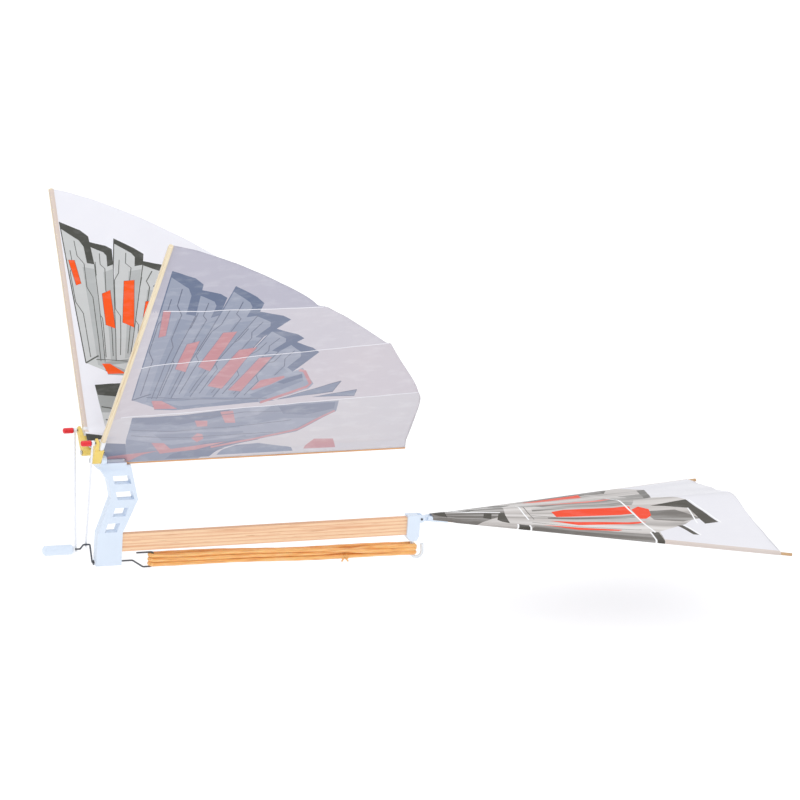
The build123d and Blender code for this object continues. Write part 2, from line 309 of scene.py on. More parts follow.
def film_material(name, colour, other, wrinkle_highlight=0.0, gloss=1.0, rays=False, panels=None, veil=0.0):
    """Printed plastic film: soft uneven ink, fine stretch wrinkles with painted pale highlights along
    their crests, and a thin gloss.
    rays adds long pale and dark reflections that spread from the tail's nose; panels are the colours
    that replace the ink from panel to panel, painted shade and light for panels that tilt differently
    to the lamps; veil pales the ink on the inner panels, painted light that grows towards the keel."""
    material, tree, shader = new_material(name, Coat_Weight=0.3 * gloss, Coat_Roughness=0.16,
                                          Specular_IOR_Level=0.5 * gloss, IOR=1.46)
    place = node(tree, "Attribute", attribute_name="flat_place").outputs["Vector"]
    uneven = noise_value(tree, place, 22.0, 3.0)
    fold = node(tree, "Attribute", attribute_name="fold_shading").outputs["Fac"]
    base = blend_colour(tree, range_of(tree, uneven, 0.0, 0.9), tone(colour), tone(other))
    # Bare film below: painted shade and light, panel by panel.
    if panels:
        stops = [(i / (len(panels) - 1), tone(tint)) for i, tint in enumerate(panels)]
        by_panel = ramp(tree, fold, stops)
        base = blend_colour(tree, range_of(tree, uneven, 0.9, 0.5), base, by_panel)
    # Painted light: the ink below is paled more on each panel nearer the keel.
    elif veil:
        base = blend_colour(tree, range_of(tree, fold, 0.0, veil), base, tone(PANEL_VEIL))
    if rays:
        sheen = ray_noise(tree, place)
        bright = ramp(tree, sheen, [(0.5, grey(0)), (0.66, grey(0.42))])
        base = blend_colour(tree, bright, base, tone("f6f4f3"))
        dull = ramp(tree, sheen, [(0.34, grey(0.5)), (0.47, grey(0))])
        base = blend_colour(tree, dull, base, tone("605c58"))
    wrinkle = noise_value(tree, scaled(tree, place, 0.35, 1.0, 1.0), 210.0, 4.0, 0.6)
    # Painted highlight: near-white laid along the wrinkle crests.
    if wrinkle_highlight:
        glint = ramp(tree, wrinkle, [(0.5, grey(0)), (0.85, grey(wrinkle_highlight))])
        base = blend_colour(tree, glint, base, tone("fcfcfe"))
    surface(tree, shader, base, range_of(tree, uneven, 0.26, 0.42), wrinkle, 0.22, 0.0004)
    return material


# Inks of the printed film: two close colours that drift into each other.
TOP_INKS = {
    "margin": ("f1f1f7", "eaeaf2"),
    "sleeve": ("e2d4cc", "d6c4b8"),
    "body": ("d0d2d2", "bec0c0"),
    "slate": ("969998", "b0b3b2"),
    "shade": ("b8bbbb", "aeb1b1"),
    "dark": ("444540", "545550"),
    "line": ("545652", "646662"),
    "orange": ("fc5208", "f45c10"),
    "crease": ("f1f1f7", "f8f8fa"),
}
# Inks seen from below: the print through the film, darkened and blued as painted shade, since the lower
# face lies in shade.
UNDER_INKS = {
    "margin": ("b6b4c5", "bebcca"),
    "sleeve": ("b6b4c5", "bebcca"),
    "body": ("8a93aa", "989eb0"),
    "slate": ("707c98", "828ca2"),
    "shade": ("7c87a0", "8a93a8"),
    "dark": ("546384", "62708c"),
    "line": ("545c74", "626a80"),
    "orange": ("bc767e", "c6848a"),
    "crease": ("f0f0f6", "e6e6ee"),
}
TAIL_INKS = {
    "margin": ("e8e7ec", "dcdbe2"),
    "sleeve": ("dacfca", "cec0b8"),
    "body": ("bab5b2", "ccc6c3"),
    "slate": ("6a6662", "86817d"),
    "shade": ("9e9996", "aea9a6"),
    "dark": ("423f3a", "58544c"),
    "line": ("706c68", "827d78"),
    "orange": ("f03e18", "ea4c24"),
    "crease": ("f6f6f8", "f0f0f2"),
}
INK_NAMES = list(TOP_INKS)
TOP_GLOSS = 0.35  # the printed face is duller than the bare one
# Bare film seen from below, panel by panel from the outermost one in to the keel: painted shade and
# light, darkest on the outermost panel, as the panels between the creases tilt differently to the
# lamps.
PANEL_MARGINS = ["b3b1c0", "d0cbd2", "d3cbd0", "d7d3d6"]
# Tint that paints light on the ink below, more on each panel nearer the keel.
PANEL_VEIL = "cccad2"
VEIL_SHARE = 0.3


def film_materials(kind, top_inks, under_inks, rays=False):
    """Upper-face materials, then under-face ones, each in the order of INK_NAMES."""
    upper = [film_material(f"{kind}_top_{ink}", *top_inks[ink], wrinkle_highlight=0.1, gloss=TOP_GLOSS,
                           rays=rays and ink in ("body", "slate", "shade")) for ink in INK_NAMES]
    under = []
    for ink in INK_NAMES:
        # The bare film below gets painted shade panel by panel.
        panels = PANEL_MARGINS if ink in ("margin", "sleeve") else None
        under.append(film_material(f"{kind}_under_{ink}", *under_inks[ink], wrinkle_highlight=0.2, panels=panels,
                                   veil=VEIL_SHARE))
    return upper + under


# ---- thin printed sheets
def inside(point, polygon):
    """Even-odd test of a flat point against a polygon."""
    x, y = point
    within = False
    for (ax, ay), (bx, by) in zip(polygon, polygon[1:] + polygon[:1]):
        if (ay > y) != (by > y) and x < (bx - ax) * (y - ay) / (by - ay) + ax:
            within = not within
    return within


def finer(polygon, step):
    """The same closed outline with no edge longer than step."""
    made = []
    for a, b in zip(polygon, polygon[1:] + polygon[:1]):
        parts = max(1, ceil((Vector(b) - Vector(a)).length / step))
        made += [tuple(Vector(a).lerp(Vector(b), k / parts)) for k in range(parts)]
    return made


def bounds_of(polygon):
    return (min(p[0] for p in polygon), max(p[0] for p in polygon),
            min(p[1] for p in polygon), max(p[1] for p in polygon))


def split_sheet(outline, shapes, grid):
    """Triangles of a flat sheet cut along its outline and along every printed shape."""
    points = [Vector(p) for p in outline]
    edges = [(i, (i + 1) % len(outline)) for i in range(len(outline))]
    for _, polygon in shapes:
        first = len(points)
        points += [Vector(p) for p in polygon]
        edges += [(first + i, first + (i + 1) % len(polygon)) for i in range(len(polygon))]
    points += [Vector(p) for p in grid if inside(p, outline)]
    flat, _, faces, *_ = delaunay_2d_cdt(points, edges, [], 0, 1e-4)
    kept = []
    for face in faces:
        centre = sum((flat[i] for i in face), Vector((0, 0))) / len(face)
        if inside(centre, outline):
            kept.append((face, centre))
    return flat, kept


def boxed(shapes):
    """Printed shapes with their bounds, the topmost first."""
    return [(ink, polygon, bounds_of(polygon)) for ink, polygon in reversed(shapes)]


def ink_of(centre, boxed_shapes):
    """Index of the topmost ink at a place."""
    for ink, polygon, (x0, x1, y0, y1) in boxed_shapes:
        if x0 <= centre.x <= x1 and y0 <= centre.y <= y1 and inside(centre, polygon):
            return INK_NAMES.index(ink)
    return 0


def printed_sheet(name, materials, outline, top_shapes, under_shapes, grid, place, facing,
                  fold_shading, edge_step):
    """Closed thin shell in space, made of a flat printed sheet.
    The under shapes hold every top one; place(x, s) gives a point in millimetres, facing is 1 where
    aft crossed with outwards is the upper side and -1 where it is the lower, fold_shading(x, s) tells
    how near the keel a panel is, and edge_step is the longest edge along an outline."""
    outline = finer(outline, edge_step)
    lines = [(ink, finer(polygon, edge_step)) for ink, polygon in under_shapes]
    flat, faces = split_sheet(outline, lines, grid)
    top_shapes, under_shapes = boxed(top_shapes), boxed(under_shapes)
    step = 0.05  # half the distance over which a slope is measured
    middles, normals = [], []
    for p in flat:
        aft = place(p.x + step, p.y) - place(p.x - step, p.y)
        out = place(p.x, p.y + step) - place(p.x, p.y - step)
        middles.append(place(p.x, p.y))
        normals.append(aft.cross(out).normalized() * facing)
    count = len(flat)
    verts = [(m + n * FILM_T / 2) * MM for m, n in zip(middles, normals)]
    verts += [(m - n * FILM_T / 2) * MM for m, n in zip(middles, normals)]
    made = []  # corners, ink and fold tone of each face
    for face, centre in faces:
        a, b, c = (middles[i] for i in face[:3])
        turned = (b - a).cross(c - a).dot(normals[face[0]]) < 0
        ring = list(reversed(face)) if turned else list(face)
        made.append((ring, ink_of(centre, top_shapes), 0.0))
        # The lower face takes its panel's painted shade.
        made.append(([i + count for i in reversed(ring)], len(INK_NAMES) + ink_of(centre, under_shapes),
                     fold_shading(centre.x, centre.y)))
    seen = dict.fromkeys((a, b) for ring, _, _ in made[::2] for a, b in zip(ring, ring[1:] + ring[:1]))
    # An edge that only one upper face has gets a rim.
    made += [([b, a, a + count, b + count], 0, 0.0) for a, b in seen if (b, a) not in seen]
    polygons, inks, tones = zip(*made)
    mesh = bpy.data.meshes.new(name)
    mesh.from_pydata([tuple(v) for v in verts], [], polygons)
    for material in materials:
        mesh.materials.append(material)
    mesh.polygons.foreach_set("material_index", inks)
    mesh.polygons.foreach_set("use_smooth", [True] * len(polygons))
    places = [c for p in list(flat) * 2 for c in (p.x * MM, p.y * MM, 0)]
    mesh.attributes.new("flat_place", "FLOAT_VECTOR", "POINT").data.foreach_set("vector", places)
    mesh.attributes.new("fold_shading", "FLOAT", "FACE").data.foreach_set("value", tones)
    mesh.update()
    return new_object(name, mesh)


# ---- wing print
# Each feather: front of the tip, rear of the tip, end of its rear band, rear and front of its base.
FEATHERS = [
    [(7.7, 136.5), (26.1, 126.8), (26.7, 104.9), (19, 38.5), (6.5, 44)],
    [(26.1, 122.8), (41, 116.8), (39.8, 104.2), (27, 42.5), (17.5, 42)],
    [(44, 124.8), (62, 111.9), (60.5, 103), (37, 44), (27, 42.5)],
    [(59.1, 106.6), (79.5, 99), (67.3, 86), (50, 44), (37, 44)],
    [(71.9, 93.1), (90.7, 83.6), (79, 74), (62, 43), (50, 44)],
    [(82.5, 83.2), (101.7, 72.4), (90.1, 59.5), (75, 41), (62, 43)],
]
FEATHER_WINDOWS = [
    [(8.8, 108.8), (12.9, 108.5), (14.3, 90.2), (10.7, 89.1)],
    [(27.5, 82.9), (33.8, 85.3), (31.4, 62.4), (25.4, 64.7)],
    [(44.9, 91), (52.3, 91.5), (44.5, 62.5), (37.5, 65.7)],
    [(56.9, 77.4), (66.3, 78.7), (53.5, 49.8), (45.4, 52.2)],
    [(69.6, 70.1), (76.4, 70.6), (64.5, 47.2), (57.3, 48.7)],
    [(79, 56.5), (87.5, 56), (74.8, 44.7), (70.4, 48.7)],
]
# Stepped panel lines inside a feather, as shares of its width and of its length from the tip.
PANEL_LINES = [
    [(0.42, 0.1), (0.42, 0.24), (0.62, 0.31), (0.62, 0.5), (0.8, 0.56), (0.8, 0.95)],
    [(0.2, 0.2), (0.2, 0.34), (0.06, 0.4), (0.06, 0.62), (0.3, 0.68), (0.3, 0.95)],
]
LOWER_PRINT = [
    ("slate", [(19, 44), (20, 36.6), (30, 35.8), (85, 39.6), (76, 42), (37, 45), (27, 44)]),
    ("body", [(24, 42), (44, 43), (70, 42), (50, 39.6), (33, 38.6)]),
    ("body", [(75, 42), (70.4, 48.7), (79, 57), (90.1, 59.5), (95, 62), (103.5, 50.3),
              (101.5, 46.7), (76.6, 38)]),
    ("slate", [(70, 44.5), (80, 50.5), (87.5, 55.5), (95.5, 58), (97.5, 52.5), (84, 45.5), (75, 41)]),
    ("dark", [(83, 52.6), (95.5, 58), (96.5, 55), (87, 51)]),
    ("orange", [(69.7, 47.9), (73.7, 54.4), (85.9, 56.9), (86.6, 55.6), (79.8, 51.1), (71, 47.6)]),
    ("slate", [(9.4, 31.3), (32.1, 31.7), (85.1, 36.5), (120.6, 37), (121.3, 28.4), (102.8, 14.6),
               (79, 8.7), (60, 3), (52, 0.3), (13, 0.3), (10, 13.5)]),
    ("dark", [(9.4, 31.3), (32.1, 31.7), (62, 34.5), (58, 29), (36, 24.5), (10, 26.5)]),
    ("body", [(62, 34.2), (84, 36), (78, 29), (60, 27)]),
    ("body", [(10.2, 20), (52, 19), (96, 21.5), (70, 12), (36, 9), (10.2, 15)]),
    ("slate", [(24, 18), (52, 17.4), (80, 17), (56, 12), (30, 12.6)]),
    ("dark", [(88, 35), (119, 36), (119.5, 31), (104, 27), (92, 29)]),
    ("body", [(70, 21), (94, 25), (112, 24), (100, 16), (76, 12.5)]),
    ("dark", [(54, 9), (75, 10), (84, 9.5), (60, 4.5), (40, 2.5)]),
    ("slate", [(118.6, 51.2), (85.6, 40.2), (115.5, 43.9)]),
    ("slate", [(128.6, 44.5), (105, 40.8), (128.3, 40.2)]),
    ("slate", [(62, 1.2), (66, 3.6), (72, 6), (84, 6.6), (92, 4.6), (103, 2.4), (104, 1.2)]),
    ("dark", [(34, 0.8), (58, 0.8), (66, 4.4), (52, 4), (38, 2.4)]),
    ("dark", [(-5.4, 13), (10.3, 11.6), (12, 5), (14.2, 0.2), (0.5, 0.2), (0.4, 6.5), (-5.4, 8)]),
    ("orange", [(109.8, 1.7), (114.2, 8.1), (124.9, 7.4), (127.5, 1.6)]),
    ("orange", [(44.2, 27.1), (51.2, 26.6), (52.3, 21.9), (46.6, 22.2)]),
    ("orange", [(56.7, 32.8), (63.6, 33.3), (67.2, 23.6), (61.5, 24)]),
    ("orange", [(17.2, 42.9), (22.8, 42.6), (32.4, 36.8), (20, 37)]),
    ("orange", [(45.5, 13.5), (48, 17), (51, 16), (52.5, 12.4), (49.5, 9.8)]),
    ("orange", [(24.3, 11.4), (31.3, 10.6), (36, 6), (54, 8), (66, 9.4), (50, 4.2), (31, 2.6)]),
    ("orange", [(3, 2.4), (30, 5.2), (20, 2.2), (13.6, 0.6), (1.4, 0.6)]),
]
LOWER_LINES = [
    ("orange", 1.7, [(93.5, 60.5), (96.5, 59.5), (101.8, 50.5), (100, 48), (77, 38.6)]),
    ("orange", 1.5, [(120.5, 29), (103, 16.2), (80, 9.9), (58, 5.6)]),
    ("line", 0.5, [(118.6, 51.2), (85.6, 40.2), (115.5, 43.9), (118.6, 51.2)]),
    ("line", 0.5, [(128.6, 44.5), (105, 40.8), (128.3, 40.2), (128.6, 44.5)]),
    ("line", 0.45, [(14, 45.5), (36, 43.5), (60, 42), (80, 41.5)]),
    ("line", 0.45, [(11, 22), (34, 19.5), (62, 20.5), (98, 23.5)]),
    ("line", 0.45, [(40, 31), (52, 29.5), (70, 32), (92, 31)]),
    ("line", 0.45, [(12, 17.5), (40, 14), (66, 14.5), (90, 15)]),
]
# Packing creases across the sheet, each from its front end to its trailing end.
CREASES = [((3.1, 31.9), (164.2, 40.2)), ((6.3, 67.3), (139, 76.4)), ((8.9, 108.2), (95, 107.4))]
CREASE_LIFT = [-0.9, 0.9, -0.9]  # how far each crease stands off the sheet, mm


BAND_DOWN, BAND_TOP, BAND_SIDE = 0.3, 0.045, 0.73  # dark tip band, as shares of the feather


def in_feather(feather, across, down):
    """Place at shares of a feather's width and length; its rear edge is bent at the band's end."""
    tip_front, tip_rear, band_end, base_rear, base_front = (Vector(p) for p in feather)
    if down < BAND_DOWN:
        rear = tip_rear.lerp(band_end, down / BAND_DOWN)
    else:
        rear = band_end.lerp(base_rear, (down - BAND_DOWN) / (1 - BAND_DOWN))
    return tuple(tip_front.lerp(base_front, down).lerp(rear, across))


def feather_shapes(feather, window):
    """Body, shade, panel lines, dark tip band, outlines and orange window of one feather."""
    tip_front, tip_rear, band_end, base_rear, base_front = feather
    shapes = [("body", [tip_front, tip_rear, band_end, base_rear, base_front])]
    shapes.append(("shade", [in_feather(feather, u, v) for u, v in
                             ((0.55, 0.34), (0.98, 0.34), (0.98, 0.98), (0.62, 0.98))]))
    shapes += [("line", strip([in_feather(feather, u, v) for u, v in points], 0.55))
               for points in PANEL_LINES]
    inner = [in_feather(feather, u, v) for u, v in
             ((BAND_SIDE, BAND_DOWN), (BAND_SIDE, 0.13), (0.6, 0.08), (0.0, BAND_TOP))]
    shapes.append(("dark", [tip_front, in_feather(feather, 0.72, -0.022), tip_rear, band_end] + inner))
    shapes.append(("dark", strip([tip_front, in_feather(feather, 0, 0.5), base_front], 0.7)))
    shapes.append(("line", strip([band_end, base_rear], 0.55)))
    shapes.append(("dark", strip(window + window[:1], 0.5)))
    shapes.append(("orange", window))
    return shapes


def wing_print():
    """Every printed shape, in printing order."""
    shapes = []
    for feather, window in reversed(list(zip(FEATHERS, FEATHER_WINDOWS))):
        shapes += feather_shapes(feather, window)
    shapes.append(("line", strip([FEATHERS[0][4], (13, 46.5), (16, 47.5)], 0.8)))
    shapes += LOWER_PRINT
    shapes += [(ink, strip(points, width)) for ink, width, points in LOWER_LINES]
    return shapes


SHIFT_FORWARD, SHIFT_NARROW, SHIFT_OUT = 2.5, 0.22, 11.5  # of the starboard print: mm, share, mm
SHIFT_FULL, SHIFT_NONE = 60.0, 130.0  # it fades out between these distances aft


def crease_at(crease, x):
    """How far out a crease lies at x."""
    (x0, s0), (x1, s1) = crease
    return mix(s0, s1, (x - x0) / (x1 - x0))


def print_shift(side, x, s):
    """Where a printed point lands: the starboard wing's print sits further forward and out."""
    if side == "left":
        return x, s
    near_spar = 1 - smooth((x - SHIFT_FULL) / (SHIFT_NONE - SHIFT_FULL))
    narrowed = SHIFT_NARROW * min(max(x, 0), SHIFT_FULL) * near_spar
    shift = -SHIFT_FORWARD * smooth(s / 20) - narrowed
    rise = SHIFT_OUT * smooth((s - 5) / 26) * (1 - smooth((s - 80) / 57))
    return x + shift, s + rise * near_spar


# ---- wings
ROOT_S, ROOT_END = 0.15, 166.7  # root edge: its distance out and its aft end
LAP_START = 15.5  # inner end of the film's turn over the spar
LAP_WIDTH = 1.35  # how far that turn reaches behind the spar's axis
DRAWN_SPAN = 154.8  # span that the trailing edge was drawn for
FREE_AFT, FREE_OUT = 60, 45  # here the film is free of the spar and of the keel
SAG, FAN_HEIGHT, RIPPLE_HEIGHT, GATHER_HEIGHT = 0.8, 0.35, 0.22, 0.5
FAN_AHEAD = 40.0  # the fan of wrinkles spreads from this far ahead
GLUE_REACH = 3.0  # how far out the film eases off the keel's side
PLATFORM_END = 12.3  # behind the frame's platform the film drops to the keel
EDGE_STEP = 1.6  # longest edge along a wing outline


class Wing:
    """One film wing: its plane through the keel and the spar, and its shape off that plane."""

    def __init__(self, side):
        self.side = side
        self.sign = 1 if side == "right" else -1
        flap = radians(FLAP[side])
        self.lift = (sin(flap), cos(flap))
        tip_y = HINGE_Y + SPAR_TIP * cos(flap)
        tip_z = HINGE_Z + SPAR_TIP * sin(flap)
        self.slope = atan2(tip_z - FILM_ROOT_Z, tip_y)
        self.span = hypot(tip_z - FILM_ROOT_Z, tip_y)
        self.out = Vector((0, self.sign * cos(self.slope), sin(self.slope)))
        self.normal = Vector((0, -self.sign * sin(self.slope), cos(self.slope)))

    def spar_at(self, s):
        """X of the spar's axis and its height off the film's plane, level with s."""
        rise_z = HINGE_Z - FILM_ROOT_Z
        cosine, sine = cos(self.slope), sin(self.slope)
        hinge_s = HINGE_Y * cosine + rise_z * sine
        hinge_h = rise_z * cosine - HINGE_Y * sine
        along = self.lift[1] * cosine + self.lift[0] * sine
        up = self.lift[0] * cosine - self.lift[1] * sine
        distance = (s - hinge_s) / along
        x = SPAR_X + (distance - SPAR_ROOT) * tan(radians(SPAR_SWEEP))
        return x, hinge_h + distance * up

    def fold_height(self, x, s):
        """Zigzag of the packing creases."""
        stops = [(0.0, 0.0)]
        for crease, lift in zip(CREASES, CREASE_LIFT):
            stops.append((crease_at(crease, x), lift))
        stops.append((self.span, 0.0))
        for (s0, h0), (s1, h1) in zip(stops, stops[1:]):
            if s <= s1:
                return mix(h0, h1, (s - s0) / (s1 - s0))
        return 0.0

    def wrinkles(self, x, s):
        """A fan of wrinkles, short ripples, and gathers beside the keel."""
        ray = atan2(s, x + FAN_AHEAD)
        fan = FAN_HEIGHT * noise.noise(Vector((ray * 16, x / 55, self.sign * 3.1)))
        ripples = RIPPLE_HEIGHT * noise.noise(Vector((x / 9, s / 26, self.sign * 7.7)))
        gathers = GATHER_HEIGHT * noise.noise(Vector((x / 60, s / 7, 1.3)))
        return fan + ripples + gathers * (1 - smooth(s / FREE_OUT))

    def height(self, x, s):
        """How far the film stands off its plane, in millimetres."""
        spar_x, spar_h = self.spar_at(s)
        behind = x - spar_x
        free = smooth(behind / FREE_AFT) * smooth(s / FREE_OUT)
        sag = -SAG * free * sin(pi * min(max(s / self.span, 0), 1))
        folds = self.fold_height(x, s) * smooth(behind / 25)
        body = sag + folds + self.wrinkles(x, s) * smooth(behind / 14) * smooth(s / 5)
        if s < LAP_START:
            return body * smooth(s / 8)
        wrap = SPAR_R + 0.08
        if behind < 0.8 * wrap:
            cover = spar_h + sqrt(max(wrap * wrap - behind * behind, 0))
        else:
            leave = spar_h + 0.6 * wrap
            cover = body + (leave - body) * exp(-(behind - 0.8 * wrap) / 4.5)
        return mix(body, cover, smooth((s - LAP_START) / 3.0))

    def place(self, x, s):
        """Point in space; behind the frame's platform the root is glued to the keel's side."""
        point = Vector((x, 0, FILM_ROOT_Z)) + self.out * s + self.normal * self.height(x, s)
        glued = (1 - smooth(s / GLUE_REACH)) * smooth((x - PLATFORM_END) / 1.4)
        point.y += self.sign * (KEEL_R + FILM_T) * glued
        point.z -= (FILM_ROOT_Z - KEEL_Z) * glued
        return point

    def outline(self):
        """Root, leading edge on the spar, rounded trailing edge with a jog at each crease."""
        tip_s = self.span - 0.6
        front = [(ROOT_END, ROOT_S), (0.4, ROOT_S), (0.3, 6.2), (-5.3, 7.6), (-5.6, 9.0),
                 (-5.6, LAP_START)]
        steps = 24
        for k in range(steps + 1):
            s = mix(LAP_START + 2, tip_s, k / steps)
            front.append((self.spar_at(s)[0] - 1.2, s))
        front.append((self.spar_at(tip_s)[0] + 1.6, tip_s))
        stretch = self.span / DRAWN_SPAN
        outer = rounded([(8.5, 153.4 * stretch), (25.2, 147.5 * stretch), (52.7, 134.3 * stretch),
                         (81.3, 117.3), (91.8, 108.6)])
        middle = rounded([(97.4, 107.2), (116, 94), (136.9, 77.2)])
        inner = rounded([(140.0, 76.2), (147.4, 65.2), (159.3, 48.6), (163.6, 40.8)])
        foot = rounded([(164.4, 39.6), (166.7, 32.9), (167.2, 14), (ROOT_END, ROOT_S)])[:-1]
        return front + outer + middle + inner + foot

    def fold_shading(self, x, s):
        """0 on the outermost panel, 1 on the one beside the keel; it sets each panel's painted shade
        below.
        """
        return sum(s < crease_at(crease, x) for crease in CREASES) / len(CREASES)

    def sleeve(self):
        """Band of film that is glued over the spar."""
        steps = 8
        places = [mix(LAP_START + 1, self.span, k / steps) for k in range(steps + 1)]
        line = [(self.spar_at(s)[0], s) for s in places]
        return [(x - 2, s) for x, s in line] + [(x + LAP_WIDTH, s) for x, s in line[::-1]]

    def grid(self):
        """Inner points: fine behind the spar, even elsewhere, finer near the keel."""
        places = []
        s = 0.9
        while s < self.span:
            spar_x = self.spar_at(s)[0] if s > LAP_START else -4.6
            for offset in (-1.1, -0.9, -0.55, 0.0, 0.55, 0.95, 1.35, 2.0, 3.0, 4.4):
                places.append((spar_x + offset, s))
            x = spar_x + 6.2
            while x < 167:
                places.append((x, s))
                x += 2.0
            s += 0.9 if s < 6 else 1.8
        return places


def make_wing_film(side, materials):
    wing = Wing(side)
    outline = wing.outline()
    shapes = [("sleeve", wing.sleeve())]
    for ink, polygon in wing_print():
        shapes.append((ink, [print_shift(side, x, s) for x, s in polygon]))
    creases = [("crease", strip([a, b], 0.5)) for a, b in CREASES]
    name = f"wing_skin_{side}"
    film = printed_sheet(name, materials, outline, shapes, shapes + creases, wing.grid(), wing.place,
                         wing.sign, wing.fold_shading, EDGE_STEP)
    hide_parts(f"wing_film_{side}")
    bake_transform(film)
    low_x, high_x, low_s, high_s = bounds_of(outline)
    return film


# ---- tail
TAIL_ROOT_X, TAIL_TIP_X = 181.2, 363.8  # a tail stick runs from the root to the tip, mm
TAIL_ROOT_Y, TAIL_TIP_Y = 0.9, 63.5
TAIL_ROOT_Z, TAIL_TIP_Z, TAIL_AXIS_DROP = 15.7, 5.8, 0.4  # its axis lies below these by the drop
TAIL_RIDGE_X, TAIL_RIDGE_Z, TAIL_ROOT_RISE = 357.0, 18.6, 1.8
TAIL_FRONT, TAIL_END = 184.4, 358.0  # both ends of the film
TAIL_LAP = 2.5  # how far the film goes round each stick, mm
TAIL_WRAP, SOCKET_WRAP = 1.05, 1.45  # radius of that turn on the bare stick and on its socket
SOCKET_END = 193.0
TAIL_SAG, TAIL_RIPPLE, TAIL_CREASE_LIFT = 0.6, 0.5, 0.5
TAIL_EDGE_STEP = 0.7  # longest edge along a tail outline
# The tail's lower face takes one even painted shade from the wings' panel colours.
TAIL_FOLD_SHADING = 0.4  # the tail's underside is one even panel
TAIL_CREASE = [(288, 12), (298, -34)]  # packing crease across the tail
# Printed shapes of the tail: x aft, y to starboard, in millimetres.
TAIL_PRINT = [
    ("body", [(183.8, -6), (183.8, 6), (232, 22), (262, 32), (300, 44.5), (309, 44),
              (322, 37), (318, 24), (312, 6), (322, 2), (328, -3), (333, -16), (318, -27),
              (301, -33), (300, -46), (262, -33), (232, -23)]),
    ("slate", [(184, -5), (184, 5), (212, 14), (221, 12), (226, 5), (224, -6), (212, -10), (206, -12)]),
    ("shade", [(196, 3), (218, 9), (221, 3), (206, 0)]),
    ("slate", [(301, 40), (296, 31), (262, 24), (233, 15.6), (262, 28), (299, 43)]),
    ("slate", [(232, 3), (290, 11), (312, 8), (306, 2), (250, -2)]),
    ("shade", [(232, -19), (262, -28.5), (300, -42), (299, -36), (262, -25.5), (236, -17)]),
    ("slate", [(232, -21), (262, -31.5), (300, -45), (299.5, -40), (262, -28.5), (236, -19)]),
    ("slate", [(240, -4.4), (262, -3.8), (296, -5.6), (298, -2.8), (262, -1.6), (240, -3)]),
    ("shade", [(240, -3), (262, -1.6), (298, -2.8), (299, -0.5), (262, 0.6), (240, -2)]),
    ("slate", [(246, -12), (262, -14.6), (298, -17), (298, -15.4), (262, -12.6), (246, -11)]),
    ("slate", [(200, -4), (222, -1), (222, 2), (212, 1.4), (200, -2.6)]),
    ("slate", [(300, -12), (318, -12), (329, -22), (318, -24), (303, -20)]),
    ("slate", [(299, 20), (316, 22), (312, 9), (300, 8)]),
    ("dark", [(183.8, 0.4), (186, -1.5), (192, -4.4), (192, 1)]),
    ("dark", [(192, 1), (206, 3), (219, 2), (205, -1)]),
    ("dark", [(221, -4), (224, -4), (223.6, -14), (220, -12), (218, -10)]),
    ("dark", [(213, -3), (217, -4), (215, -9), (211, -7.5)]),
    ("dark", [(226.6, -20.4), (233, -22.6), (233, -17.6), (228, -15.6)]),
    ("dark", [(221, 12), (225, 14.6), (234, 12), (226, 5)]),
    ("orange", [(250, -6), (257, -5), (294, -7), (293, -14), (251, -11)]),
    ("orange", [(294, -10), (299, -7), (304, -10), (303, -16), (299, -19), (295, -19)]),
    ("orange", [(246, -14), (261, -17), (298, -22), (293, -23), (260, -20)]),
    ("orange", [(241, -18), (259, -23), (282, -28), (279, -29), (258, -25.5)]),
    ("orange", [(243, 18.6), (281, 31), (280, 24), (249, 17)]),
    ("orange", [(243, 2), (283, 9), (289, 6), (272, 2)]),
    ("dark", [(306, -7), (328, -3), (337, -27), (329, -28), (326, -11), (314, -8)]),
    ("dark", [(313, -28), (316, -28), (321, -39), (318, -38)]),
    ("dark", [(296, -33), (300, -34), (300, -46), (296.5, -44.8)]),
    ("dark", [(296, 38.4), (301, 40), (296, 31)]),
    ("dark", [(317, 36), (322, 37), (312, 6), (307, 3)]),
]
TAIL_LINES = [
    ("crease", 0.9, [(295.6, -33), (295.8, -45)]),
    ("crease", 0.9, [(226.2, -20.4), (227.6, -15.4)]),
    ("crease", 0.9, [(233.4, -22.8), (233.4, -17.4)]),
    ("crease", 0.8, [(329.8, -3.4), (338.4, -27.4)]),
    ("crease", 0.8, [(321.9, -39), (316.9, -28)]),
    ("crease", 0.7, [(222, -3.6), (204, -1.4), (190, 1.6)]),
    ("line", 0.5, [(236, 3), (238, -12)]),
    ("line", 0.4, [(232, 14), (262, 22), (297, 29)]),
    ("line", 0.4, [(238, -8), (262, -14.4), (296, -17.6)]),
    ("line", 0.4, [(236, -14.5), (258, -21.5), (292, -29.5)]),
    ("crease", 1.0, TAIL_CREASE),
    ("crease", 0.8, [(233.6, 4), (235, -12)]),
    ("crease", 0.8, [(326, -11), (325, -27)]),
]


def tail_stick_at(x):
    """Distance out and height of a tail stick's axis at x."""
    share = (x - TAIL_ROOT_X) / (TAIL_TIP_X - TAIL_ROOT_X)
    return mix(TAIL_ROOT_Y, TAIL_TIP_Y, share), mix(TAIL_ROOT_Z, TAIL_TIP_Z, share) - TAIL_AXIS_DROP


def tail_wrap_at(x):
    """Radius of the film's turn round a stick: wider over the holder's sockets."""
    return mix(SOCKET_WRAP, TAIL_WRAP, smooth((x - SOCKET_END) / 4))


